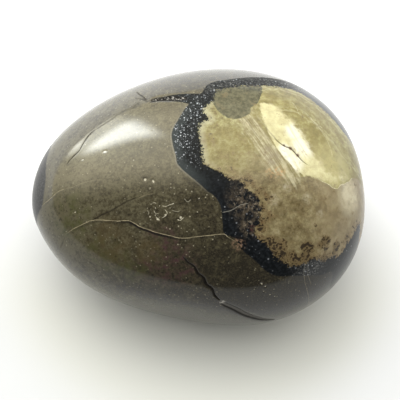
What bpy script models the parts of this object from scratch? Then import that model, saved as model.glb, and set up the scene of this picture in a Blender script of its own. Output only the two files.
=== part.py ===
"""A polished septarian pebble: one egg-shaped stone lying on its side.

Metres, +Z up. The long axis lies along X with the blunt end at +X, the face with the calcite window
looks up and towards -Y, and the origin is on the ground under the middle of the stone.

A place on the stone is given as (along, around): millimetres along the long axis from the middle,
and degrees around it, 0 at the top, 90 on the near side (-Y), 180 underneath and -90 on the far side.
"""

import math

import bmesh
import bpy
from mathutils import Vector, geometry

MM = 0.001

# Driving dimensions of the egg, in millimetres
HALF_LENGTH = 33.2
HALF_WIDTH = 25.5
HALF_HEIGHT = 21.0
BLUNT_END_SWELL = 0.15
TURN = math.radians(1.0)

# Faces worn nearly flat: azimuth and elevation of each one's normal in degrees, and its reach from the middle
WORN_FACES = [
    (211.0, 0.0, 31.4),
    (169.0, 0.0, 33.35),
    (8.0, 0.0, 33.7),
    (259.0, 0.0, 24.05),
    (0.0, -90.0, 21.3),
]
WORN_RIM = 2.5
RESTING_REACH = 19.8

# Open seams in the polished face: the route of each, its half width at the middle and its depth
OPEN_SEAMS = [
    ([(-2.8, 40), (-0.3, 47), (1.2, 53), (2.8, 60), (4.0, 66)], 0.35, 0.45),
    ([(4.0, 66), (5.9, 74), (8.3, 83), (10.9, 87), (14.3, 92)], 0.6, 0.4),
    ([(-8.7, -38), (-7.1, -37.5), (-4.9, -36), (-3.0, -34.5), (-1.5, -34)], 0.7, 0.7),
    ([(13.6, -12), (16.0, -8), (17.6, -5), (19.8, 0.5)], 0.3, 0.4),
]
SEAM_STEPS = 6

# The mesh: an icosphere, halved again near the seams at each of these distances
ICOSPHERE_LEVEL = 5
REFINE_WITHIN = [1.7, 1.0, 0.55]
SMOOTH_BELOW = math.radians(35)


def direction(along, around):
    """The unit direction, on the sphere that the egg is stretched from, of a place on the stone."""
    x = along / HALF_LENGTH
    ring = math.sqrt(1 - x * x)
    angle = math.radians(around)
    return Vector((x, -ring * math.sin(angle), ring * math.cos(angle)))


def worn_down(point, azimuth, elevation, reach):
    """The point, pressed back softly where it stands out past one worn face."""
    flat, tilt = math.radians(azimuth), math.radians(elevation)
    normal = Vector((math.cos(flat) * math.cos(tilt), math.sin(flat) * math.cos(tilt), math.sin(tilt)))
    proud = point.dot(normal) - reach
    return point - normal * (proud + math.hypot(proud, WORN_RIM)) / 2


def surface(unit):
    """The point of the smooth stone, in millimetres from its middle, in one unit direction."""
    girth = 1 + BLUNT_END_SWELL * unit.x
    point = Vector((HALF_LENGTH * unit.x, HALF_WIDTH * unit.y * girth, HALF_HEIGHT * unit.z * girth))
    point = Vector((
        point.x * math.cos(TURN) - point.y * math.sin(TURN),
        point.x * math.sin(TURN) + point.y * math.cos(TURN),
        point.z,
    ))
    for azimuth, elevation, reach in WORN_FACES:
        point = worn_down(point, azimuth, elevation, reach)
    return point


def smooth_route(places):
    """Points on the stone along a Catmull-Rom curve through the places."""
    knots = [direction(*place) for place in places]
    knots = [knots[0] * 2 - knots[1], *knots, knots[-1] * 2 - knots[-2]]
    route = []
    for before, start, end, after in zip(knots, knots[1:], knots[2:], knots[3:]):
        for step in range(SEAM_STEPS):
            t = step / SEAM_STEPS
            bend = (end - before) * t + (before * 2 - start * 5 + end * 4 - after) * t**2
            route.append(start + (bend + (start * 3 - before - end * 3 + after) * t**3) / 2)
    route.append(knots[-2])
    return [surface(unit.normalized()) for unit in route]


def nearest(point, route):
    """The distance from a point to a route, and how far along the route that is, from 0 to 1."""
    best, share = math.inf, 0.0
    for index, (start, end) in enumerate(zip(route, route[1:])):
        foot, t = geometry.intersect_point_line(point, start, end)
        t = min(max(t, 0.0), 1.0)
        gap = (point - start.lerp(end, t)).length
        if gap < best:
            best, share = gap, (index + t) / (len(route) - 1)
    return best, share


def seam_depth(point, seams):
    """How deep the open seams cut the stone at a point. Each one tapers out towards its two ends."""
    depth = 0.0
    for route, half_width, deepest in seams:
        gap, share = nearest(point, route)
        taper = math.sqrt(max(0.0, 4 * share * (1 - share)))
        width = half_width * (0.4 + 0.6 * taper)
        depth = max(depth, deepest * taper * math.exp(-((gap / width) ** 2)))
    return depth


def refined_sphere(seams):
    """A unit icosphere whose triangles are halved step by step towards the seams."""
    bm = bmesh.new()
    bmesh.ops.create_icosphere(bm, subdivisions=ICOSPHERE_LEVEL, radius=1.0)
    for reach in REFINE_WITHIN:
        near = []
        for edge in bm.edges:
            middle = surface(((edge.verts[0].co + edge.verts[1].co) / 2).normalized())
            if min(nearest(middle, route)[0] for route, _, _ in seams) < reach:
                near.append(edge)
        bmesh.ops.subdivide_edges(bm, edges=near, cuts=1)
        bmesh.ops.triangulate(bm, faces=bm.faces)
        for vert in bm.verts:
            vert.co.normalize()
    return bm


def cut_resting_face(bm):
    """Slices off the lowest part of the stone and closes it with one flat face."""
    cut = bmesh.ops.bisect_plane(
        bm,
        geom=bm.verts[:] + bm.edges[:] + bm.faces[:],
        plane_co=(0, 0, -RESTING_REACH),
        plane_no=(0, 0, -1),
        clear_outer=True,
    )
    rim = [item for item in cut["geom_cut"] if isinstance(item, bmesh.types.BMEdge)]
    bmesh.ops.contextual_create(bm, geom=rim)
    bmesh.ops.triangulate(bm, faces=bm.faces)


def stand_on_origin(bm):
    """Moves the stone so that its resting face lies at height 0 with its outline centred on the origin."""
    middle = Vector((0, 0, min(vert.co.z for vert in bm.verts)))
    for axis in (0, 1):
        reach = [vert.co[axis] for vert in bm.verts]
        middle[axis] = (min(reach) + max(reach)) / 2
    bmesh.ops.translate(bm, verts=bm.verts, vec=-middle)


def polished_stone_material():
    """Olive-brown limestone with a waxy polish."""
    material = bpy.data.materials.new("polished_stone")
    material.use_nodes = True
    shader = material.node_tree.nodes["Principled BSDF"]
    shader.inputs["Base Color"].default_value = (0.135, 0.122, 0.088, 1.0)
    shader.inputs["Roughness"].default_value = 0.22
    shader.inputs["Metallic"].default_value = 0.0
    return material


def make_pebble(collection):
    """The whole stone, which is one piece."""
    seams = [(smooth_route(places), half_width, depth) for places, half_width, depth in OPEN_SEAMS]
    bm = refined_sphere(seams)
    for vert in bm.verts:
        point = surface(vert.co)
        vert.co = point - point.normalized() * seam_depth(point, seams)
    cut_resting_face(bm)
    stand_on_origin(bm)
    bmesh.ops.scale(bm, verts=bm.verts, vec=(MM, MM, MM))
    bmesh.ops.recalc_face_normals(bm, faces=bm.faces)
    mesh = bpy.data.meshes.new("pebble")
    bm.to_mesh(mesh)
    bm.free()
    mesh.shade_smooth()
    mesh.set_sharp_from_angle(angle=SMOOTH_BELOW)
    pebble = bpy.data.objects.new("pebble", mesh)
    pebble.data.materials.append(polished_stone_material())
    collection.objects.link(pebble)


def main():
    for obj in list(bpy.data.objects):
        bpy.data.objects.remove(obj)
    collection = bpy.data.collections.new("septarian_pebble")
    bpy.context.scene.collection.children.link(collection)
    make_pebble(collection)


main()
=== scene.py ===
import math

import bmesh
import bpy
import numpy as np
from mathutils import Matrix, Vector, kdtree


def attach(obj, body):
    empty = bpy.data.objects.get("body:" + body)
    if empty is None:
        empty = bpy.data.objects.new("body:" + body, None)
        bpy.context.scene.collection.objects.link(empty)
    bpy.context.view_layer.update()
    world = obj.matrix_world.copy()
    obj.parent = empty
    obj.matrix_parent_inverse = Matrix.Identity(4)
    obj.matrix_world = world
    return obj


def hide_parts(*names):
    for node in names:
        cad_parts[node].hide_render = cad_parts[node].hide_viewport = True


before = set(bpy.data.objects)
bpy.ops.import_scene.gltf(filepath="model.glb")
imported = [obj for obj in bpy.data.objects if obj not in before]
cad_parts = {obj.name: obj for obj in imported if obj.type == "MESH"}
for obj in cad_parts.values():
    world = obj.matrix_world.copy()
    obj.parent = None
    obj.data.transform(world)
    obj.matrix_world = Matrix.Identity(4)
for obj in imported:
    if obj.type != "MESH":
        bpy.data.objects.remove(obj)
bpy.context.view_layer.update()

MM = 0.001
SEED = 7

# The egg, in millimetres from its middle. A place on it is (along, around): millimetres along the long axis,
# and degrees around it, 0 at the top, 90 on the near side (-Y), 180 underneath and -90 on the far side.
HALF_LENGTH = 33.2
HALF_WIDTH = 25.5
HALF_HEIGHT = 21.0
BLUNT_END_SWELL = 0.15
TURN = math.radians(1.0)

# Faces worn nearly flat: azimuth and elevation of each one's normal in degrees, and its reach from the middle
WORN_FACES = [
    (211.0, 0.0, 31.4),
    (169.0, 0.0, 33.35),
    (8.0, 0.0, 33.7),
    (259.0, 0.0, 24.05),
    (0.0, -90.0, 21.3),
]
WORN_RIM = 2.5
RESTING_REACH = 19.8

# The mesh: an icosphere, halved again within each distance of the lines and dents, and once more by the seams
ICOSPHERE_LEVEL = 7
REFINE_WITHIN = [0.9, 0.5]
REFINE_SEAMS_WITHIN = 0.6

# Open seams: route, half width at the middle and depth. One has split wide enough to show a grey bottom.
SPLIT_SEAM = 1
DRUSY_SEAM = 2
OPEN_SEAMS = [
    ([(-3.0, 40.3), (-2.1, 43.3), (-1.0, 45.3), (-0.3, 48.8), (0.7, 51), (1.2, 54.6), (2.2, 57),
      (2.7, 61.3), (3.8, 65)], 0.25, 0.32),
    ([(3.6, 65), (4.6, 68), (6.4, 72), (8.5, 78.5), (10.7, 84.5), (12.7, 90), (14.3, 93)], 0.6, 0.32),
    ([(-8.7, -38), (-7.1, -37.5), (-4.9, -36), (-3.0, -34.5), (-1.5, -34)], 0.6, 0.32),
    ([(14.2, -12), (14.8, -10.5), (16.0, -8.5), (17.3, -7.5), (18.5, -4.5), (19.6, -1.8),
      (20.5, -0.2)], 0.1, 0.2),
]

# The calcite window and the dark band round it, each as a closed loop
CALCITE_LOOP = [
    (3.9, -37), (6.5, -40), (9.8, -42), (12.4, -44), (15.5, -47), (18.4, -49.5), (21.3, -49.5),
    (23.9, -46.5), (26.9, -43), (29.3, -41), (30.7, -50), (30.9, -75), (30.3, -105), (30.7, -135),
    (31.0, -170), (30.6, 155), (30.0, 125), (30.4, 95), (31.0, 66), (30.7, 46), (29.7, 47), (28.6, 50),
    (27.5, 52), (26.3, 55.5), (24.3, 53), (21.3, 49), (18.7, 49), (15.9, 46), (13.8, 41), (12.1, 36),
    (10.1, 31), (10.6, 27), (11.7, 22), (11.4, 18), (10.2, 13), (8.0, 8), (5.7, 6), (3.4, 3), (1.2, 0),
    (0.9, -6), (0.5, -14), (1.1, -19), (2.5, -20), (1.4, -26), (3.3, -31),
]
BAND_LOOP = [
    (0.7, -35), (2.3, -43), (4.4, -46), (7.1, -48), (11.4, -53), (15.8, -59), (18.7, -63), (21.5, -67),
    (24.0, -78), (25.8, -95), (27.0, -115), (27.9, -140), (27.6, -170), (26.0, 160), (24.6, 135),
    (23.9, 110), (24.8, 85), (25.1, 66), (22.8, 62), (20.0, 57), (17.1, 54), (14.3, 52), (12.1, 48),
    (10.0, 42), (7.8, 37), (6.7, 32), (4.7, 30), (4.4, 26), (4.2, 20), (3.3, 15), (1.7, 12), (-0.1, 8),
    (-2.1, 4), (-3.6, 0), (-3.9, -4), (-4.5, -10), (-4.5, -16), (-3.2, -22), (-1.9, -28),
]

# Closed loops of the dark tip, the grey patch, the painted highlight on the bright cleavage and the clear
# calcite above its ledge
TIP_LOOP = [
    (-29.1, -33), (-29.1, -13), (-29.2, -2), (-29.5, 9), (-30.0, 22), (-31.2, 38), (-32.0, 80),
    (-31.2, 130), (-28.5, 160), (-25.0, 172), (-22.0, -178), (-22.5, -170), (-26.0, -160),
    (-28.5, -140), (-29.3, -100), (-28.4, -60),
]
GREY_PATCH_LOOP = [
    (3.9, -37), (6.5, -40), (9.3, -42), (12.4, -44), (11.8, -32), (10.2, -27), (10.0, -24), (8.6, -21),
    (7.1, -20), (5.5, -21), (4.2, -24), (3.3, -28), (3.2, -32),
]
PAINTED_HIGHLIGHT_LOOP = [
    (11.9, -30), (13.6, -31.5), (15.3, -31), (17.3, -26), (19.2, -22), (20.6, -16), (22.0, -9),
    (23.0, -5), (24.6, -1), (27.4, -2), (29.0, 2), (27.6, 6), (25.9, 10), (23.9, 8), (20.5, 5),
    (19.2, 5), (17.4, 1), (15.8, -3), (14.5, -7), (13.4, -13), (12.2, -22),
]
LEDGE_LOOP = [
    (12.4, -44), (15.5, -47), (18.4, -49.5), (21.3, -49.5), (23.9, -46.5), (26.9, -43), (29.3, -41),
    (30.7, -50), (31.9, -40), (32.2, 0), (30.1, -2), (28.4, 5), (26.8, 8), (25.9, 11), (23.5, 8),
    (21.3, 5), (18.4, 6), (17.1, 6), (15.8, 6), (14.0, 0), (12.6, -8), (11.8, -18), (11.8, -32),
]

# Narrow veins out of sight of the window, the dark branch and the silky streak: route, half width at the start
# and at the end
VEINS = [
    ([(26.5, 112), (18, 132), (9, 140), (0, 150), (-8, 163), (-15, 174), (-22, -178)], 3.4, 1.1),
    ([(27.0, -118), (16, -119), (6, -112), (-4, -118), (-13, -138), (-20, -165)], 2.4, 0.7),
]
DRUSY_BRANCH = ([(-8.6, -36.5), (-6.5, -36.8), (-4.5, -36), (-2.0, -34.2), (0.5, -32)], 0.1, 1.7)
SILKY_STREAK = ([(7.6, -27), (9.4, -20), (11.0, -13), (13.0, -6), (15.2, 0), (17.2, 3.5)], 1.9, 2.6)

# Hairlines: strength and route
PALE_HAIRS = [
    (1.0, [(-25.4, 43), (-23.5, 35), (-22.3, 32), (-19.7, 27), (-17.0, 26), (-15.3, 26), (-13.1, 25.3),
           (-12.0, 26), (-10.5, 28), (-9.1, 29), (-7.8, 30), (-5.6, 31), (-2.9, 32), (0.2, 31),
           (4.4, 30), (5.4, 31.5), (7.2, 34)]),
    (0.75, [(-30.0, 22), (-28.0, 13), (-26.4, 8), (-25.0, 6.5)]),
    (0.25, [(-25.0, 6.5), (-23.2, 6), (-20.6, 4), (-17.3, 4)]),
    (0.4, [(-10.9, 14.5), (-9.7, 13.3), (-8.0, 12.5)]),
    (0.7, [(4.2, 21), (6.1, 20), (7.6, 18), (9.2, 17.5)]),
    (0.45, [(19.5, 47), (19.4, 50), (19.4, 56), (19.8, 64), (20.7, 81), (20.5, 100)]),
    (0.35, [(20.3, 46), (20.0, 50), (20.1, 56), (20.9, 66)]),
    (0.12, [(2.5, 50), (3.6, 57)]),
]
SCRATCHES_AND_PAINTED_GLINTS = [
    (0.8, [(-8.4, 17), (-8.0, 16.7), (-7.6, 17)]),
    (0.9, [(-6.6, 18), (-5.9, 18.3), (-5.2, 17.7), (-4.3, 17)]),
    (0.8, [(-8.1, 20), (-7.8, 21.2), (-7.2, 21.6)]),
    (1.0, [(-7.9, 22), (-7.6, 23.2), (-7.1, 24)]),
    (0.9, [(-6.6, 23.4), (-6.0, 22.4), (-5.7, 21), (-6.1, 19.5)]),
    (1.0, [(-3.8, 24), (-3.3, 24.2), (-2.6, 23)]),
    (0.5, [(-2.5, 15), (-1.9, 16.4), (-1.2, 15.4)]),
    (0.5, [(-4.8, 20), (-3.9, 20.6), (-3.2, 20)]),
    (0.4, [(-9.3, 20), (-9.0, 21.2), (-9.2, 22.2)]),
    # The last four lie on the calcite: painted glints along its cleavage, each with a shallow groove
    (0.4, [(21.3, -29), (22.4, -27.5), (23.7, -26)]),
    (0.35, [(18.0, -37), (18.9, -33), (19.2, -29)]),
    (0.2, [(22.6, -32), (22.3, -29), (22.0, -26)]),
    (0.3, [(19.6, -34), (22.2, -28), (24.6, -18), (25.4, -8)]),
]
DARK_HAIRS = [
    (1.0, [(-19.7, 27), (-18.2, 24), (-15.6, 20), (-13.0, 16), (-10.9, 14)]),
    (1.0, [(-24.8, -11), (-24.0, -14.5), (-22.4, -18), (-21.6, -22), (-20.5, -27.5), (-19.0, -30.5)]),
    (0.45, [(-19.6, -29.5), (-16.3, -33), (-14.0, -35.8), (-11.7, -35.8), (-10.4, -38)]),
    (0.7, [(12.6, -17), (13.6, -14), (14.8, -10.5)]),
    (0.9, [(-11.4, -52), (-10.6, -46), (-10.0, -43), (-9.2, -38)]),
    (0.6, [(-11.6, -44), (-10.6, -42), (-9.0, -37)]),
    (0.5, [(-25.3, 44), (-26.0, 52), (-26.6, 60)]),
    (0.6, [(-10.6, -39), (-11.2, -38), (-12.0, -36)]),
    (0.6, [(8.9, -21), (9.7, -18), (10.7, -13.5), (11.9, -10)]),
]

# Their grooves: name, hairlines, depth and half width
GROOVES = [
    ("pale", PALE_HAIRS, 0.02, 0.12),
    ("scratch", SCRATCHES_AND_PAINTED_GLINTS, 0.015, 0.12),
    ("dark", DARK_HAIRS, 0.02, 0.25),
]

# Small dents in the polish: place and size
PITS = [
    (-9.6, 6, 1.1), (-8.1, 7, 1.3), (-21.4, -11, 0.8), (-21.4, -1, 0.6), (-11.7, -4, 0.75),
    (-23.0, 23, 0.9), (-15.8, 18, 0.6), (-17.1, -12, 1.3), (-7.4, 24, 1.3), (-3.2, 23, 1.1),
    (-7.8, 19, 0.9), (-9.9, 21, 0.6), (-4.9, 10, 0.6), (-8.7, 10, 0.6), (-14.7, 36, 0.6),
    (-18.6, 53, 0.6), (-22.1, 102, 0.8), (-7.0, 18, 0.7), (-6.0, 22, 0.9), (-4.5, 17, 0.7),
    (-8.8, 23, 0.8), (-9.4, 26, 0.6), (-10.8, 17, 0.5), (-12.8, 10, 0.5), (-1.1, 12, 0.6),
    (0.2, 15, 0.7), (1.2, 22, 0.5), (-14.4, 26, 0.5), (-25.0, 39, 0.6), (-17.2, 64, 0.5),
    (-3.4, 35, 0.5), (-4.3, 44, 0.6), (-18.6, 10, 0.5), (-25.6, 12, 0.5), (11.4, 55, 0.9),
    (12.1, 57, 0.8), (11.8, 60, 0.6), (13.0, 63, 0.7), (13.9, 65, 0.6), (10.2, 57, 0.5),
    (-2.1, 29, 0.6), (2.9, 31, 0.6), (-8.2, -18, 0.5), (-5.9, -10, 0.5),
]
PIT_DEPTH = 0.06
CRYSTALS = 110

# Colours, as linear red, green and blue
OLIVE_RAMP = [(0.1, (0.010, 0.008, 0.004)), (0.5, (0.030, 0.025, 0.0125)), (0.9, (0.066, 0.058, 0.032))]
GOLDEN_RAMP = [(0.15, (0.082, 0.060, 0.014)), (0.5, (0.156, 0.140, 0.048)), (0.85, (0.258, 0.246, 0.114))]
DULL_RAMP = [(0.15, (0.070, 0.052, 0.022)), (0.5, (0.130, 0.103, 0.048)), (0.85, (0.210, 0.178, 0.095))]
HONEY_RAMP = [(0.15, (0.090, 0.071, 0.016)), (0.5, (0.142, 0.119, 0.033)), (0.85, (0.245, 0.224, 0.086))]
COLOURS = {
    # Limestone
    "pale grain": (0.080, 0.070, 0.042),
    "dark grain": (0.009, 0.007, 0.004),
    "red stain": (0.034, 0.013, 0.016),
    "green stain": (0.036, 0.038, 0.009),
    "ochre stain": (0.050, 0.036, 0.0135),
    "small speck": (0.22, 0.20, 0.135),
    "large speck": (0.27, 0.25, 0.17),
    "black speck": (0.010, 0.007, 0.005),
    "dark tip": (0.022, 0.022, 0.023),
    "grey tip": (0.065, 0.065, 0.066),
    "hair shadow": (0.005, 0.004, 0.003),
    "pale hair": (0.27, 0.23, 0.14),
    "dark hair": (0.010, 0.008, 0.006),
    "pale fringe": (0.105, 0.100, 0.080),
    # Aragonite band, with painted sheen and glints
    "black": (0.003, 0.0037, 0.0042),
    "soft black": (0.011, 0.0125, 0.014),
    "slate": (0.034, 0.040, 0.039),
    "grey dust": (0.20, 0.20, 0.185),
    "bright dust": (0.105, 0.115, 0.12),
    "fine spark": (0.40, 0.42, 0.43),
    "spark": (0.43, 0.45, 0.46),
    "large spark": (0.42, 0.44, 0.46),
    "brown lump": (0.046, 0.036, 0.024),
    "tan grain": (0.15, 0.122, 0.084),
    "red grain": (0.040, 0.010, 0.010),
    "hair in the band": (0.22, 0.21, 0.17),
    # Open and chipped places
    "open seam": (0.008, 0.007, 0.006),
    "crack bottom": (0.105, 0.100, 0.088),
    "white knot": (0.34, 0.32, 0.28),
    "tan stain": (0.20, 0.125, 0.075),
    "clear crystal": (0.42, 0.40, 0.35),
    "chalky dent": (0.40, 0.37, 0.27),
    "white scratch": (0.42, 0.39, 0.28),
    # Golden calcite
    "pale gold grain": (0.28, 0.265, 0.140),
    "brown gold grain": (0.085, 0.062, 0.018),
    "deep gold": (0.128, 0.098, 0.022),
    "black bite": (0.020, 0.018, 0.012),
    "pale edge": (0.29, 0.28, 0.19),
    # Dull calcite
    "pale dull grain": (0.27, 0.235, 0.150),
    "brown dull grain": (0.085, 0.052, 0.020),
    "warm right side": (0.225, 0.180, 0.105),
    "milky spot": (0.34, 0.31, 0.22),
    "pale patch": (0.38, 0.34, 0.225),
    # Honey calcite above the ledge
    "pale arc": (0.32, 0.30, 0.165),
    "brown arc": (0.125, 0.095, 0.026),
    "clear honey": (0.295, 0.267, 0.118),
    "scratched honey": (0.60, 0.58, 0.42),
    "crisp ledge": (0.62, 0.59, 0.44),
    # Facets, streaks, painted highlight and grey patch
    "bright facet": (0.28, 0.26, 0.14),
    "dark facet": (0.070, 0.056, 0.024),
    "streak brown": (0.112, 0.090, 0.032),
    "streak white": (0.35, 0.322, 0.20),
    "mauve": (0.125, 0.098, 0.075),
    "orange stain": (0.34, 0.20, 0.085),
    "deep cream": (0.30, 0.27, 0.130),
    "cream": (0.46, 0.43, 0.24),
    "flash white": (0.60, 0.59, 0.49),
    "dark patch": (0.028, 0.027, 0.012),
    "grey patch": (0.092, 0.088, 0.050),
    # Rusty rim of the calcite
    "rust": (0.050, 0.024, 0.009),
    "rusty gold": (0.22, 0.150, 0.062),
    "brown halo": (0.122, 0.086, 0.038),
    "clump black": (0.010, 0.0065, 0.0045),
    "clump ridge": (0.115, 0.082, 0.036),
    "brown hair": (0.07, 0.055, 0.03),
    "brown seam": (0.045, 0.020, 0.010),
    "rust spot": (0.06, 0.022, 0.010),
    # Floor and light
    "floor": (0.530, 0.535, 0.522),
    "pale floor": (0.550, 0.555, 0.542),
    "warm floor": (0.530, 0.532, 0.478),
    "no glow": (0.0, 0.0, 0.0),
    "floor glow": (1.7, 1.7, 1.67),
    "dim front": (0.34, 0.34, 0.338),
    "bright back": (1.33, 1.33, 1.33),
    "dark room": (0.27, 0.26, 0.23),
    "warm wall": (6.15, 5.65, 4.2),
    "haze": (13.0, 14.0, 12.5),
    "pane": (30.0, 30.5, 28.5),
}

# The polish: how much there is on the limestone and on the calcite, and how smooth it is
STONE_POLISH = 0.78
CALCITE_POLISH = 0.55
POLISH_ROUGHNESS = 0.09
POLISH_IOR = 1.5

# Soft lights: name, azimuth from +Y towards +X and elevation in degrees, size in metres, power in watts
SOFT_LIGHTS = [
    ("sky", -28, 58, (1.0, 0.8), 6.0),
    ("fill", 0, 83, (1.4, 1.1), 13.5),
]
LIGHT_DISTANCE = 1.2
FLOOR_RADIUS = 6.0

# The camera: its distance and lens in millimetres, and where it aims, in millimetres from the egg's middle
CAMERA_ELEVATION = math.radians(72)
CAMERA_DISTANCE = 300
CAMERA_LENS = 138.46
SENSOR_WIDTH = 36
AIM = (0.54, 0.11, -1.0)


def directions(places):
    """Unit directions, on the sphere that the egg is stretched from, of places on the stone."""
    along, around = np.array(places, float).T
    x = along / HALF_LENGTH
    ring = np.sqrt(1 - x * x)
    angle = np.radians(around)
    return np.stack([x, -ring * np.sin(angle), ring * np.cos(angle)], axis=1)


def surface(units):
    """Points of the smooth stone, in millimetres from its middle, in unit directions."""
    girth = 1 + BLUNT_END_SWELL * units[:, 0]
    x, y, z = HALF_LENGTH * units[:, 0], HALF_WIDTH * units[:, 1] * girth, HALF_HEIGHT * units[:, 2] * girth
    points = np.stack([
        x * math.cos(TURN) - y * math.sin(TURN),
        x * math.sin(TURN) + y * math.cos(TURN),
        z,
    ], axis=1)
    for azimuth, elevation, reach in WORN_FACES:
        flat, tilt = math.radians(azimuth), math.radians(elevation)
        normal = np.array([math.cos(flat) * math.cos(tilt), math.sin(flat) * math.cos(tilt), math.sin(tilt)])
        proud = points @ normal - reach
        points = points - np.outer((proud + np.hypot(proud, WORN_RIM)) / 2, normal)
    return points


def route(places, closed=False, steps=8):
    """Points on the stone along a Catmull-Rom curve through the places."""
    knots = directions(places)
    if closed:
        knots = np.vstack([knots[-1:], knots, knots[:2]])
    else:
        knots = np.vstack([2 * knots[:1] - knots[1:2], knots, 2 * knots[-1:] - knots[-2:-1]])
    points = []
    for before, start, end, after in zip(knots, knots[1:], knots[2:], knots[3:]):
        for t in np.arange(steps) / steps:
            bend = (end - before) * t + (before * 2 - start * 5 + end * 4 - after) * t**2
            points.append(start + (bend + (start * 3 - before - end * 3 + after) * t**3) / 2)
    points.append(points[0] if closed else knots[-2])
    points = np.array(points)
    return surface(points / np.linalg.norm(points, axis=1, keepdims=True))


def measure(points, line):
    """Each point's distance from a line on the stone, its side of it, and how far along the line it is."""
    gap = np.full(len(points), np.inf)
    side, share = np.zeros(len(points)), np.zeros(len(points))
    for index, (start, end) in enumerate(zip(line, line[1:])):
        run = end - start
        t = np.clip((points - start) @ run / (run @ run), 0, 1)
        offset = points - start - t[:, None] * run
        distance = np.linalg.norm(offset, axis=1)
        closer = distance < gap
        gap[closer] = distance[closer]
        side[closer] = np.sign(offset[closer] @ np.cross(start, run))
        share[closer] = (index + t[closer]) / (len(line) - 1)
    return gap, side, share


def reach_inside(points, places, most=8):
    """How far each point lies inside a closed loop, in millimetres, and below 0 outside it."""
    line = route(places, closed=True, steps=4)
    middle = directions(places).mean(axis=0)
    middle = surface((middle / np.linalg.norm(middle))[None])
    gap, side, _ = measure(np.vstack([points, middle]), line)
    return np.clip(gap[:-1] * side[:-1] * side[-1], -most, most)


def reach_in_vein(points, places, start_width, end_width):
    """How far each point lies inside a vein whose half width runs from one value to another."""
    gap, _, share = measure(points, route(places))
    return start_width + (end_width - start_width) * share - gap


def hair(points, lines, reach=1.2):
    """The signed distance across the nearest hairline, and its strength, which fades at the ends."""
    across, strength = np.full(len(points), reach), np.zeros(len(points))
    nearest = np.full(len(points), np.inf)
    for power, places in lines:
        gap, side, share = measure(points, route(places))
        closer = gap < nearest
        nearest[closer] = gap[closer]
        across[closer] = (gap * np.where(side == 0, 1, side))[closer]
        ends = power * np.clip(np.minimum(share, 1 - share) * 12, 0, 1)
        strength[closer] = (ends * np.clip((reach - gap) / (0.4 * reach), 0, 1))[closer]
    return np.clip(across, -reach, reach), strength


def seam_shape(points):
    """How deep the open seams cut the stone, and where the grey bottom of the widest crack shows."""
    depth, bottom = np.zeros(len(points)), np.zeros(len(points))
    for index, (places, half_width, deepest) in enumerate(OPEN_SEAMS):
        gap, _, share = measure(points, route(places))
        taper = np.sqrt(np.clip(4 * share * (1 - share), 0, 1))
        width = half_width * (0.4 + 0.6 * taper)
        depth = np.maximum(depth, deepest * taper * np.exp(-((gap / width) ** 2)))
        if index == SPLIT_SEAM:
            bottom = np.clip(taper * 1.5, 0, 1) * np.clip(2.2 - gap / (0.34 * width), 0, 1)
    return depth, bottom


def pit_shape(points, rng):
    """How deep the small dents are at each point, as a share from 0 to 1 of the deepest."""
    depth = np.zeros(len(points))
    for along, around, size in PITS:
        stretch = rng.normal(size=3) * 1.1
        offset = points - surface(directions([(along, around)]))
        gap = np.sqrt((offset**2).sum(axis=1) + (offset @ stretch) ** 2)
        depth = np.maximum(depth, np.exp(-((gap / (0.27 * size)) ** 2)) * min(1.0, 0.4 + 0.6 * size))
    return depth


def crystal_shape(points, rng):
    """Heights of the small crystals that line the open seam at the end of the dark branch."""
    line = route(OPEN_SEAMS[DRUSY_SEAM][0])
    height = np.zeros(len(points))
    for _ in range(CRYSTALS):
        share = rng.uniform(0.05, 1.0)
        middle = line[int(share * (len(line) - 1))] + rng.normal(size=3) * 0.28
        radius, tall = rng.uniform(0.09, 0.2), rng.uniform(0.15, 0.4)
        turn = rng.normal(size=(3, 3))
        facets = np.abs((points - middle) @ turn / np.linalg.norm(turn, axis=0)).max(axis=1)
        height = np.maximum(height, tall * np.clip(1 - facets / radius, 0, 1))
    return height


def refine(bm, lines, reach):
    """Halves the triangles that lie within reach of some lines."""
    tree = kdtree.KDTree(sum(len(line) for line in lines))
    for index, point in enumerate(np.vstack(lines)):
        tree.insert(point, index)
    tree.balance()
    near = []
    middles = np.array([((edge.verts[0].co + edge.verts[1].co) / 2).normalized() for edge in bm.edges])
    for edge, middle in zip(bm.edges, surface(middles)):
        if tree.find(middle)[2] < reach:
            near.append(edge)
    bmesh.ops.subdivide_edges(bm, edges=near, cuts=1)
    bmesh.ops.triangulate(bm, faces=bm.faces)
    for vert in bm.verts:
        vert.co.normalize()


def smooth_stone():
    """The mesh of the smooth stone, in millimetres from its middle, closed by its flat resting face."""
    bm = bmesh.new()
    bmesh.ops.create_icosphere(bm, subdivisions=ICOSPHERE_LEVEL, radius=1.0)
    seams = [route(places, steps=24) for places, _, _ in OPEN_SEAMS]
    hairs = [route(places, steps=16) for _, places in PALE_HAIRS + SCRATCHES_AND_PAINTED_GLINTS + DARK_HAIRS]
    dents = [surface(directions([pit[:2] for pit in PITS]))]
    for reach in REFINE_WITHIN:
        refine(bm, seams + hairs + dents, reach)
    refine(bm, seams, REFINE_SEAMS_WITHIN)
    for vert, point in zip(bm.verts, surface(np.array([vert.co for vert in bm.verts]))):
        vert.co = point
    cut = bmesh.ops.bisect_plane(
        bm,
        geom=bm.verts[:] + bm.edges[:] + bm.faces[:],
        plane_co=(0, 0, -RESTING_REACH),
        plane_no=(0, 0, -1),
        clear_outer=True,
    )
    rim = [item for item in cut["geom_cut"] if isinstance(item, bmesh.types.BMEdge)]
    bmesh.ops.contextual_create(bm, geom=rim)
    bmesh.ops.triangulate(bm, faces=bm.faces)
    bmesh.ops.recalc_face_normals(bm, faces=bm.faces)
    mesh = bpy.data.meshes.new("stone")
    bm.to_mesh(mesh)
    bm.free()
    return mesh


def at_vertices(mesh, name):
    """The places or the normals of a mesh's vertices, one in a row."""
    values = np.zeros(len(mesh.vertices) * 3)
    mesh.vertices.foreach_get(name, values)
    return values.reshape(-1, 3)


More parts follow.
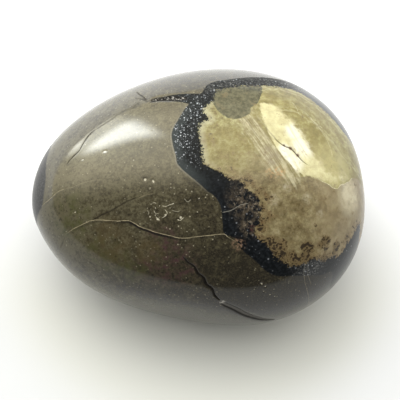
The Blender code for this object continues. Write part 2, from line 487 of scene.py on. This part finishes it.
def make_stone():
    """The whole stone with what its material reads, and where the middle of the egg lies in metres."""
    rng = np.random.default_rng(SEED)
    mesh = smooth_stone()
    points, normals = at_vertices(mesh, "co"), at_vertices(mesh, "normal")
    hidden = np.maximum(*(reach_in_vein(points, *vein) for vein in VEINS))
    seams, crack_bottom = seam_shape(points)
    pits = pit_shape(points, rng)
    crystals = crystal_shape(points, rng) * np.clip(seams * 4, 0, 1)
    readings = {
        "calcite_reach": np.maximum(reach_inside(points, CALCITE_LOOP), hidden - 1.1),
        "dark_reach": np.maximum.reduce([
            reach_inside(points, BAND_LOOP),
            hidden,
            reach_in_vein(points, *DRUSY_BRANCH),
        ]),
        "tip_reach": reach_inside(points, TIP_LOOP),
        "grey_patch": reach_inside(points, GREY_PATCH_LOOP),
        "flash": reach_inside(points, PAINTED_HIGHLIGHT_LOOP),
        "ledge": reach_inside(points, LEDGE_LOOP),
        "silk": reach_in_vein(points, *SILKY_STREAK),
        "seam": seams,
        "pit": pits,
        "crack_bottom": crack_bottom,
        "crystal": crystals,
    }
    inward = seams + PIT_DEPTH * pits - crystals
    for name, lines, depth, width in GROOVES:
        across, strength = hair(points, lines)
        readings[name + "_across"], readings[name + "_strength"] = across, strength
        inward += depth * strength * np.exp(-((across / width) ** 2))
    inward[points[:, 2] < -RESTING_REACH + 0.01] = 0
    for name, values in readings.items():
        mesh.attributes.new(name, "FLOAT", "POINT").data.foreach_set("value", values.astype(np.float32))

    middle = np.array([
        (points[:, 0].min() + points[:, 0].max()) / 2,
        (points[:, 1].min() + points[:, 1].max()) / 2,
        points[:, 2].min(),
    ])
    placed = (points - normals * inward[:, None] - middle) * MM
    mesh.vertices.foreach_set("co", placed.ravel())
    mesh.update()
    mesh.shade_smooth()
    stone = bpy.data.objects.new("polished_pebble", mesh)
    bpy.context.scene.collection.objects.link(stone)
    return stone, -middle * MM


class Tone:
    """A number that changes over the stone: a shader socket that plain arithmetic works on."""

    def __init__(self, recipe, socket):
        self.recipe = recipe
        self.socket = socket

    def _math(self, operation, *values):
        return self.recipe.node("ShaderNodeMath", {"operation": operation}, dict(enumerate(values)))

    def __add__(self, other):
        return self._math("ADD", self, other)

    def __radd__(self, other):
        return self._math("ADD", other, self)

    def __sub__(self, other):
        return self._math("SUBTRACT", self, other)

    def __rsub__(self, other):
        return self._math("SUBTRACT", other, self)

    def __mul__(self, other):
        return self._math("MULTIPLY", self, other)

    def __rmul__(self, other):
        return self._math("MULTIPLY", other, self)

    def __abs__(self):
        return self._math("ABSOLUTE", self)

    def over(self, other):
        """The larger of two tones."""
        return self._math("MAXIMUM", self, other)

    def fade(self, low, high):
        """0 up to low, 1 from high on, and smooth between."""
        inputs = {"Value": self, "From Min": low, "From Max": high}
        return self.recipe.node("ShaderNodeMapRange", {"interpolation_type": "SMOOTHSTEP"}, inputs)


class Recipe:
    """A material, or the light of the room, in the making."""

    def __init__(self, owner):
        owner.use_nodes = True
        self.tree = owner.node_tree
        self.tree.nodes.clear()

    def node(self, kind, settings=None, inputs=None, output=0):
        """Any node: its type, its settings, and the values or links of its sockets."""
        node = self.tree.nodes.new(kind)
        for name, value in (settings or {}).items():
            if name == "stops":
                self._set_stops(node.color_ramp, value)
            else:
                setattr(node, name, value)
        for name, value in (inputs or {}).items():
            if isinstance(value, Tone):
                self.tree.links.new(value.socket, node.inputs[name])
            else:
                node.inputs[name].default_value = value
        return Tone(self, node.outputs[output]) if len(node.outputs) else None

    @staticmethod
    def _set_stops(ramp, stops):
        while len(ramp.elements) < len(stops):
            ramp.elements.new(1.0)
        for element, (position, colour) in zip(ramp.elements, stops):
            element.position = position
            element.color = (*colour, 1.0)

    def surface_value(self, name):
        return self.node("ShaderNodeAttribute", {"attribute_name": name}, output="Fac")

    def axis(self, vector, name):
        return self.node("ShaderNodeSeparateXYZ", {}, {0: vector}, name)

    def mix(self, amount, first, second):
        """A colour from the first to the second by amount. Each is a link or a name in COLOURS."""
        first, second = ((*COLOURS[c], 1.0) if isinstance(c, str) else c for c in (first, second))
        return self.node("ShaderNodeMix", {"data_type": "RGBA"}, {0: amount, 6: first, 7: second}, output=2)

    def layered(self, colour, *layers):
        """A colour with others laid over it in turn, each by its own amount."""
        for amount, laid in layers:
            colour = self.mix(amount, colour, laid)
        return colour

    def ramp(self, amount, stops):
        return self.node("ShaderNodeValToRGB", {"stops": stops}, {"Fac": amount})


class StoneRecipe(Recipe):
    """The stone's material in the making: what it reads of the surface, and its patterns."""

    def __init__(self, material, middle):
        super().__init__(material)
        self.middle = np.array(middle) / MM
        self.place = self.node("ShaderNodeTexCoord", output="Object")
        in_millimetres = {0: self.place, "Scale": 1 / MM}
        self.spot = self.node("ShaderNodeVectorMath", {"operation": "SCALE"}, in_millimetres)
        self.x, self.y = (self.axis(self.spot, name) for name in "XY")
        self.low = (1 - self.y).fade(0, 4)
        self.calcite_reach = self.surface_value("calcite_reach")
        self.dark_reach = self.surface_value("dark_reach")
        self.seam = self.surface_value("seam")
        self.tip = (self.surface_value("tip_reach") + self.cloud(0.9) * 0.2).fade(-0.25, 0.35)
        self.pale = self.line("pale", 0.05, 0.08)
        self.scratch = self.line("scratch", 0.05, 0.08) * self.cloud(0.35, 2, 0.6).fade(-0.5, 0.05)
        self.faint = self.line("dark", 0.14, 0.24)
        lengthways = self.node("ShaderNodeMapping", {"vector_type": "TEXTURE"}, {
            "Vector": self.spot,
            "Rotation": (0, 0, math.radians(-58)),
            "Scale": (8.0, 0.7, 4.0),
        })
        strands = {"Vector": lengthways, "Scale": 1.0, "Detail": 4, "Roughness": 0.65}
        self.fibre = self.node("ShaderNodeTexNoise", {}, strands)

    def cloud(self, size, detail=3, rough=0.55):
        """Noise around 0, mostly within half a unit, with lumps of a size in millimetres."""
        inputs = {"Vector": self.place, "Scale": 1 / (size * MM), "Detail": detail, "Roughness": rough}
        return (self.node("ShaderNodeTexNoise", {}, inputs) - 0.5) * 2

    def cells(self, size, output):
        """Cells of a size in millimetres: the "Distance" from the middle of each, or its own "Color"."""
        return self.node("ShaderNodeTexVoronoi", {}, {"Vector": self.place, "Scale": 1 / (size * MM)}, output)

    def luck(self, size):
        """A chance number from 0 to 1 for each cell of a size in millimetres."""
        return self.node("ShaderNodeSeparateColor", {}, {0: self.cells(size, "Color")})

    def specks(self, size, share, radius):
        """Round specks: the size of their cells, the share of cells that hold one, and their radius."""
        chosen = self.luck(size).fade(1 - share, 1 - 0.6 * share)
        gap = self.cells(size, "Distance")
        return (radius / size * (0.4 + 0.6 * chosen) - gap).fade(0, 0.12) * chosen

    def about(self, *places):
        """1 near any of some places (along, around, reach), fading to 0 at its reach in millimetres."""
        near = None
        for along, around, reach in places:
            point = surface(directions([(along, around)]))[0] + self.middle
            inputs = {0: self.spot, 1: tuple(point)}
            gap = self.node("ShaderNodeVectorMath", {"operation": "DISTANCE"}, inputs, "Value")
            one = 1 - gap.fade(0.3 * reach, reach)
            near = one if near is None else near.over(one)
        return near

    def line(self, name, half_width, soft):
        """A hairline of a half width, with a soft edge, both in millimetres."""
        across, strength = self.surface_value(name + "_across"), self.surface_value(name + "_strength")
        wobble = self.cloud(0.9, 3, 0.6) * 0.12
        return (half_width + soft / 2 - abs(across + wobble)).fade(0, soft) * strength


def limestone_colour(r):
    """Fine olive grain, lighter to the tip, darker to the right, painted shade on the near side, stains,
    specks and hairlines.
    """
    cloud, about, specks = r.cloud, r.about, r.specks
    grain = cloud(7.0, 4, 0.6) * 0.4 + cloud(1.3, 4, 0.7) * 0.85 + cloud(0.45, 3, 0.7) * 0.8
    # Darker towards the right, and painted shade low on the near side, below -14 mm
    tone_and_painted_shade = (r.x + 6) * 0.018 + (-14 - r.y).fade(0, 8) * 0.2
    red = about((-6.5, 33, 4.5), (-5.0, 45, 6.5), (-9.5, 49, 4)) * cloud(1.3, 4, 0.7).fade(-0.15, 0.35)
    green = about((-18, 47, 6), (-13, 51, 5), (-24, 27, 7)) * cloud(1.6, 3, 0.6).fade(-0.3, 0.4)
    ochre = about((-16.5, 38, 6.5), (-9, 40, 4)) * cloud(2.0, 4, 0.7).fade(-0.4, 0.3)
    crowded = 0.5 + 0.5 * about((-2, 24, 12))
    # A painted shadow along the lower side of the pale hairline
    painted_hair_shadow = (0.3 - abs(r.surface_value("pale_across") + 0.3)).fade(0, 0.2)
    painted_hair_shadow = painted_hair_shadow * r.surface_value("pale_strength")
    fringe = (0.3 - abs(r.dark_reach + 0.12)).fade(0, 0.3) * about((-3.5, -6, 13))
    return r.layered(
        r.ramp(grain + 0.53 - tone_and_painted_shade, OLIVE_RAMP),
        (cloud(0.3, 3, 0.7).fade(0.0, 0.45) * 0.45, "pale grain"),
        (cloud(0.6, 3, 0.7).fade(0.08, 0.4) * 0.75, "dark grain"),
        (red * 0.9, "red stain"),
        (green * 0.75, "green stain"),
        (ochre * 0.65, "ochre stain"),
        (specks(0.7, 0.4, 0.16) * crowded, "small speck"),
        (specks(1.7, 0.3, 0.2) * crowded, "large speck"),
        (specks(1.5, 0.25, 0.26) * 0.75, "black speck"),
        (r.tip * 0.95, r.mix(cloud(0.35).fade(-0.1, 0.6), "dark tip", "grey tip")),
        (painted_hair_shadow * (0.3 + 0.65 * about((-9, 29, 8))), "hair shadow"),
        (r.pale * (0.75 + cloud(0.9) * 0.9), "pale hair"),
        (r.faint * 0.75, "dark hair"),
        (fringe * 0.5, "pale fringe"),
    )


def band_colour(r):
    """Black aragonite with white specks, painted glints and a painted sheen at the back left, dust along the
    back, and a brown granular lump.
    """
    cloud, about, specks = r.cloud, r.about, r.specks
    # Painted glints and sheen where the band faces the light at the back left; the sparser specks elsewhere
    # are its own
    painted_glint_zone = about((-1.5, -19.5, 11)) * (5.0 - r.dark_reach).fade(0, 3.2)
    painted_glint_zone = painted_glint_zone * (0.45 + 0.55 * r.dark_reach.fade(0.1, 1.2))
    painted_sheen_edge = about((-3, -8, 12)) * (2.2 - r.dark_reach).fade(0, 1.8)
    dusty = about((4, -41, 4), (8, -46, 7), (16, -55, 9), (20.5, 52, 4.5)) * 0.6
    granular = about((9.3, 16, 5.5), (9.5, 27, 3)) * (r.dark_reach - 0.6).fade(0, 1.2)
    return r.layered(
        r.mix(cloud(0.5).fade(-0.3, 0.6), "black", "soft black"),
        (painted_sheen_edge * 0.7, "slate"),
        (dusty * cloud(0.4, 4, 0.75).fade(-0.05, 0.35) * 0.9, "grey dust"),
        (painted_glint_zone * cloud(0.3, 3, 0.75).fade(0.05, 0.3) * 0.7, "bright dust"),
        (specks(0.36, 0.6, 0.12) * painted_glint_zone, "fine spark"),
        (specks(0.62, 0.45, 0.17) * (0.1 + 0.9 * painted_glint_zone.over(dusty * 0.6)), "spark"),
        (specks(1.0, 0.35, 0.22) * (0.3 + 0.7 * painted_glint_zone), "large spark"),
        (granular * cloud(1.1, 4, 0.75).fade(-0.15, 0.25), "brown lump"),
        (granular * cloud(0.5, 3, 0.7).fade(0.05, 0.4) * 0.75, "tan grain"),
        (about((9.7, 28, 0.9)) * cloud(0.5, 2).fade(-0.2, 0.3) * 0.8, "red grain"),
        (r.pale * 0.9, "hair in the band"),
    )


def dark_stone_colour(r, dark):
    """The limestone with the band in it, and what is open or chipped in both."""
    cloud, about = r.cloud, r.about
    return r.layered(
        limestone_colour(r),
        (dark, band_colour(r)),
        (r.seam.fade(0.02, 0.13) * 0.85, "open seam"),
        (r.surface_value("crack_bottom") * 0.9, "crack bottom"),
        (about((4.1, 66.3, 0.75)) * cloud(0.4).fade(-0.2, 0.15), "white knot"),
        (about((7.2, 34.6, 1.7)) * cloud(0.5, 3, 0.7).fade(-0.15, 0.3) * 0.7, "tan stain"),
        (r.surface_value("crystal").fade(0.04, 0.16) * cloud(0.3, 1).fade(-0.1, 0.3), "clear crystal"),
        (r.surface_value("pit").fade(0.3, 0.8) * 0.8, "chalky dent"),
        (r.scratch * 0.85, "white scratch"),
    )


def golden_colour(r):
    """Mottled yellow on the left, deeper downwards, bitten by black grains along a paler edge."""
    cloud = r.cloud
    bites = (1.0 - r.calcite_reach).fade(0, 0.9) * (1 - r.low) * cloud(0.3, 3, 0.8).fade(0.1, 0.3)
    edge = (1.5 - r.calcite_reach).fade(0, 1.3) * (1 - r.low) * r.about((2, -12, 16))
    return r.layered(
        r.ramp(cloud(2.4, 5, 0.7) * 0.95 + cloud(0.6, 3, 0.7) * 0.5 + 0.5, GOLDEN_RAMP),
        (cloud(0.45, 4, 0.75).fade(0.1, 0.45) * 0.4, "pale gold grain"),
        (cloud(0.9, 4, 0.75).fade(0.12, 0.45) * 0.5, "brown gold grain"),
        ((8.5 - r.y).fade(0, 4).over((r.x - 6).fade(0, 6)) * 0.45, "deep gold"),
        (bites * 0.8, "black bite"),
        (edge * 0.5, "pale edge"),
    )


def dull_colour(r):
    """Olive brown low down, with milky spots and a paler patch by the right rim."""
    cloud, about = r.cloud, r.about
    milky = about((13.8, 16, 1.5), (20, 16, 1.4), (22.4, 24, 1.1), (16.2, 11, 1.2))
    return r.layered(
        r.ramp(cloud(2.2, 5, 0.7) * 0.95 + cloud(0.6, 3, 0.7) * 0.45 + 0.5, DULL_RAMP),
        (cloud(0.5, 4, 0.75).fade(0.12, 0.45) * 0.3, "pale dull grain"),
        (cloud(0.9, 4, 0.75).fade(0.2, 0.5) * 0.5, "brown dull grain"),
        ((r.x - 18).fade(0, 8) * 0.55, "warm right side"),
        (milky * cloud(0.7, 3, 0.7).fade(-0.3, 0.3) * 0.5, "milky spot"),
        (about((28.6, 15, 4.6)) * (0.85 + cloud(1.5)), "pale patch"),
    )


def honey_colour(r):
    """Clearer yellow above the ledge on the right, in arcs that follow the rim, with painted glints along its
    cleavage.
    """
    cloud = r.cloud
    arcs = r.node("ShaderNodeTexNoise", {"noise_dimensions": "1D"}, {
        "W": (r.calcite_reach + cloud(3.0, 4, 0.6) * 1.6) * 1.1,
        "Scale": 1.0,
        "Detail": 2,
    })
    return r.layered(
        r.ramp(cloud(2.0, 5, 0.7) * 0.8 + cloud(0.6, 3, 0.7) * 0.3 + 0.5, HONEY_RAMP),
        (arcs.fade(0.52, 0.68) * 0.4, "pale arc"),
        (arcs.fade(0.48, 0.34) * 0.28, "brown arc"),
        (r.about((25.6, -1, 7.5)) * 0.75, "clear honey"),
        (r.scratch, "scratched honey"),
    )


def silk_colour(r):
    """Brown and white strands, with a mauve patch under them."""
    strands = (r.fibre + r.cloud(1.2, 4, 0.7) * 0.16).fade(0.38, 0.66)
    mauve = r.about((13.9, -2.5, 2.2), (12.9, -6, 1.4)) * (0.6 + r.cloud(0.7) * 0.8)
    return r.layered(r.mix(strands, "streak brown", "streak white"), (mauve * 0.8, "mauve"))


def painted_highlight_colour(r):
    """A painted highlight where the cleavage catches the light, whitest along its lower left side."""
    cream = r.mix(r.cloud(1.4, 5, 0.7).fade(-0.5, 0.5), "deep cream", "cream")
    whites = r.about((18.1, -17, 2.6), (19.6, -10, 3.2), (17.6, -1, 2.8), (16.2, -6, 2.0))
    return r.layered(cream, (whites * r.fibre.fade(0.2, 0.6) * 0.85, "flash white"))


def rusty_rim(r, calcite):
    """The calcite with rust-brown grains and lumps where its low edge meets the band, and in its cracks."""
    cloud, about = r.cloud, r.about
    rim = (2.4 - r.calcite_reach + cloud(2.0) * 2.4).fade(0, 1.5) * r.low
    clumps = about(
        (12.7, 34.5, 1.7), (15.0, 37.5, 2.4), (17, 42.5, 1.7), (20.0, 42, 2.5),
        (23.3, 41.5, 2.1), (25.6, 47, 1.7), (11.3, 28, 1.4),
    )
    joined = (2.6 - r.calcite_reach).fade(0, 2.2) * about((17, 41, 8.5)) * 0.55
    clumps = clumps.over(rim * 0.5) * 1.2 + joined + cloud(1.6, 5, 0.75) * 2.2
    ridge = (0.2 - abs(cloud(1.5, 3, 0.6))).fade(0.03, 0.17)
    rust_spots = about((17.2, -7.6, 0.55), (18.5, -4.7, 0.5), (16.0, -8.7, 0.35))
    return r.layered(
        calcite,
        (rim * cloud(1.3, 5, 0.75).fade(-0.05, 0.3) * 0.9, "rust"),
        (rim * cloud(0.6, 4, 0.75).fade(0.05, 0.4) * 0.8, "rusty gold"),
        (clumps.fade(0.2, 0.8) * 0.6, "brown halo"),
        (clumps.fade(0.66, 0.96) * 0.9, r.mix(ridge * 0.9, "clump black", "clump ridge")),
        (r.faint * 0.6, "brown hair"),
        (r.seam.fade(0.04, 0.16) * 0.9, "brown seam"),
        (rust_spots * 0.85, "rust spot"),
    )


def calcite_colour(r, patch):
    """The window: golden to dull downwards, honey above the ledge, streaks, a painted highlight, grey patch
    and rim.
    """
    cloud, about = r.cloud, r.about
    lower = (2.5 - r.y + cloud(3.5) * 3 + (r.x - 12) * 0.5).fade(-1, 5)
    ledge = r.surface_value("ledge") + cloud(0.9, 2) * 0.2 + cloud(2.2, 2) * 0.35
    facet = r.luck(1.1) + cloud(0.4, 3, 0.7) * 0.4
    silky = (r.surface_value("silk") + cloud(1.8, 4, 0.6) * 1.5 + (r.fibre - 0.5) * 2.6).fade(-0.5, 1.4)
    orange = about((14.9, 4, 2.0), (13.4, 4.5, 1.4)) * cloud(0.5, 3, 0.7).fade(-0.1, 0.35)
    outer = (0.85 * r.x + 0.53 * r.y - 16.5).fade(0, 4)
    # Painted highlight on the cleavage, reaching wider towards the outer rim
    flash = r.surface_value("flash") + cloud(0.8) * 0.35 + (r.fibre - 0.5) * 1.2
    flash = (flash + outer * cloud(1.6, 4, 0.7) * 2.0).fade(-0.15, 0.25 + 1.7 * outer)
    crisp = (0.08 - abs(ledge - 0.06)).fade(0, 0.08) * about((26.5, 8, 6.5)) * (0.7 + cloud(0.8, 2))
    calcite = r.layered(
        golden_colour(r),
        (lower, dull_colour(r)),
        (ledge.fade(-0.06, 0.06), honey_colour(r)),
        (facet.fade(0.6, 1.1) * 0.14, "bright facet"),
        (facet.fade(0.4, -0.1) * 0.2, "dark facet"),
        (silky * (0.75 + cloud(0.6) * 0.5), silk_colour(r)),
        (orange * 0.75, "orange stain"),
        (flash, painted_highlight_colour(r)),
        (patch, r.mix(cloud(0.8, 5, 0.75).fade(-0.35, 0.35), "dark patch", "grey patch")),
        (crisp * 0.85, "crisp ledge"),
    )
    return rusty_rim(r, calcite)


def stone_finish(middle):
    """Polished olive limestone, a black speckled aragonite band, and yellow calcite inside it."""
    material = bpy.data.materials.new("polished_septarian_stone")
    r = StoneRecipe(material, middle)
    cloud = r.cloud

    # Edges: teeth where the calcite meets the band, granular ones low on the window, and a clean line where
    # the band meets the limestone
    teeth = cloud(0.42, 3, 0.75) * 1.5 + cloud(2.5) * 0.4
    crumbs = cloud(0.5, 4, 0.8) * 1.6 + cloud(2.2) * 1.6
    calcite = (r.calcite_reach + teeth * (1 - r.low) + crumbs * r.low).fade(-0.12, 0.12)
    dark = (r.dark_reach + cloud(0.8) * 0.14).fade(-0.1, 0.1)
    patch = (r.surface_value("grey_patch") + cloud(0.7) * 0.3).fade(-0.08, 0.08)

    # The polish ripples a little. It is thinner on the band and the tip, and nearly gone in the cracks.
    ripple = cloud(0.6) * 0.3 + cloud(0.18, 2) * 0.2
    bump = r.node("ShaderNodeBump", {}, {"Strength": 0.25, "Distance": 0.05 * MM, "Height": ripple}, "Normal")
    matt = dark * (0.75 - 0.6 * (r.x - 14).fade(0, 8)) + r.tip * 0.4
    worn = r.faint.over(r.seam.fade(0.02, 0.13))
    polish = {
        "Coat Roughness": POLISH_ROUGHNESS,
        "Coat IOR": POLISH_IOR,
        "Specular IOR Level": 0.03,
        "Normal": bump,
    }
    stone_shader = r.node("ShaderNodeBsdfPrincipled", {}, {
        "Base Color": dark_stone_colour(r, dark),
        "Roughness": 0.45,
        "Coat Weight": (STONE_POLISH - matt) * (1 - 0.9 * worn),
        **polish,
    })
    calcite_shader = r.node("ShaderNodeBsdfPrincipled", {"subsurface_method": "RANDOM_WALK"}, {
        "Base Color": calcite_colour(r, patch),
        "Roughness": 0.4,
        "Coat Weight": CALCITE_POLISH - 0.2 * patch,
        "Subsurface Weight": 0.2,
        "Subsurface Radius": (1.0, 0.8, 0.4),
        "Subsurface Scale": 0.5 * MM,
        **polish,
    })
    both = r.node("ShaderNodeMixShader", {}, {0: calcite, 1: stone_shader, 2: calcite_shader})
    r.node("ShaderNodeOutputMaterial", {}, {"Surface": both})
    return material


def floor_finish():
    """Plain pale floor, with a warm tint of painted shade just in front of the stone, and a soft painted glow
    behind it.
    """
    material = bpy.data.materials.new("pale_floor")
    r = Recipe(material)
    place = r.node("ShaderNodeTexCoord", output="Object")
    grain = r.node("ShaderNodeTexNoise", {}, {"Vector": place, "Scale": 60.0, "Detail": 3})
    behind = r.axis(place, "Y")
    away = r.node("ShaderNodeVectorMath", {"operation": "LENGTH"}, {0: place}, "Value")
    # A warm tint painted where the stone's shade falls just in front of it
    painted_warm_shade = (1 - away.fade(0.034, 0.050)) * (0.0 - behind).fade(-0.005, 0.02)
    shader = r.node("ShaderNodeBsdfPrincipled", {}, {
        "Base Color": r.layered(r.mix(grain, "floor", "pale floor"), (painted_warm_shade, "warm floor")),
        "Roughness": 0.8,
        "Specular IOR Level": 0.1,
        # Painted light: the floor glows softly behind the stone and beside it
        "Emission Color": r.mix(behind.fade(-0.027, 0.12), "no glow", "floor glow"),
        "Emission Strength": 1.0,
    })
    r.node("ShaderNodeOutputMaterial", {}, {"Surface": shader})
    return material


def make_floor():
    bm = bmesh.new()
    bmesh.ops.create_circle(bm, cap_ends=True, segments=96, radius=FLOOR_RADIUS)
    mesh = bpy.data.meshes.new("floor")
    bm.to_mesh(mesh)
    bm.free()
    floor = bpy.data.objects.new("floor", mesh)
    floor.data.materials.append(floor_finish())
    bpy.context.scene.collection.objects.link(floor)
    return floor


def soft_light(name, azimuth, elevation, size, power):
    """An oval light that faces the stone and isn't mirrored in the polish."""
    turn, rise = math.radians(azimuth), math.radians(elevation)
    toward = Vector((math.sin(turn) * math.cos(rise), math.cos(turn) * math.cos(rise), math.sin(rise)))
    data = bpy.data.lights.new(name, "AREA")
    data.shape = "ELLIPSE"
    data.size, data.size_y = size
    data.energy = power
    light = bpy.data.objects.new(name, data)
    light.location = toward * LIGHT_DISTANCE
    light.rotation_euler = toward.to_track_quat("Z", "Y").to_euler()
    light.visible_camera = False
    light.visible_glossy = False
    bpy.context.scene.collection.objects.link(light)


def light_the_room():
    """Soft light, most of it from behind. The polish mirrors a warm wall and one bright pane."""
    world = bpy.data.worlds.new("daylight")
    bpy.context.scene.world = world
    r = Recipe(world)
    toward = r.node("ShaderNodeTexCoord", output="Generated")
    sideways, forward, upward = (r.axis(toward, name) for name in "XYZ")
    azimuth = r.node("ShaderNodeMath", {"operation": "ARCTAN2"}, {0: sideways, 1: forward}) * math.degrees(1)
    elevation = r.node("ShaderNodeMath", {"operation": "ARCSINE"}, {0: upward}) * math.degrees(1)

    # The pane, in degrees: its two sides, its slanted top and its foot. It is brightest in its upper half,
    # with a small lobe low on the left and haze round it.
    pane = azimuth.fade(-26, -34) * azimuth.fade(-57, -46) * (0.8 * azimuth + 61 - elevation).fade(-8, 6)
    lobe = azimuth.fade(-41, -47) * elevation.fade(10, 3)
    pane = pane * elevation.fade(-4, 2) * (0.18 + 0.6 * elevation.fade(9, 19) + 0.22 * lobe)
    haze = azimuth.fade(-18, -36) * azimuth.fade(-68, -44) * elevation.fade(62, 26) * elevation.fade(-6, 12)
    wall = forward.fade(-0.1, 0.44) * (0.52 + 0.48 * upward.fade(0.1, 0.5))
    mirrored = r.layered(r.mix(wall, "dark room", "warm wall"), (haze * 0.18, "haze"), (pane, "pane"))
    soft = r.mix(forward.fade(-0.7, 0.5), "dim front", "bright back")
    in_polish = r.node("ShaderNodeLightPath", output="Is Glossy Ray")
    colour = r.mix(in_polish, soft, mirrored)
    background = r.node("ShaderNodeBackground", {}, {"Color": colour, "Strength": 1.0})
    r.node("ShaderNodeOutputWorld", {}, {"Surface": background})
    for light in SOFT_LIGHTS:
        soft_light(*light)


def aim_camera(middle):
    """The camera looks down at the stone from the near side."""
    ahead = Vector((0, math.cos(CAMERA_ELEVATION), -math.sin(CAMERA_ELEVATION)))
    target = Vector(middle) + Vector(AIM) * MM
    data = bpy.data.cameras.new("camera")
    data.lens = CAMERA_LENS
    data.sensor_width = SENSOR_WIDTH
    data.clip_start = 0.01
    camera = bpy.data.objects.new("camera", data)
    camera.location = target - ahead * CAMERA_DISTANCE * MM
    camera.rotation_euler = ahead.to_track_quat("-Z", "Y").to_euler()
    bpy.context.scene.collection.objects.link(camera)
    bpy.context.scene.camera = camera


stone, middle = make_stone()
stone.data.materials.append(stone_finish(middle))
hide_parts("pebble")
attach(stone, "root")
make_floor()
light_the_room()
aim_camera(middle)
bpy.context.scene.view_settings.view_transform = "Standard"
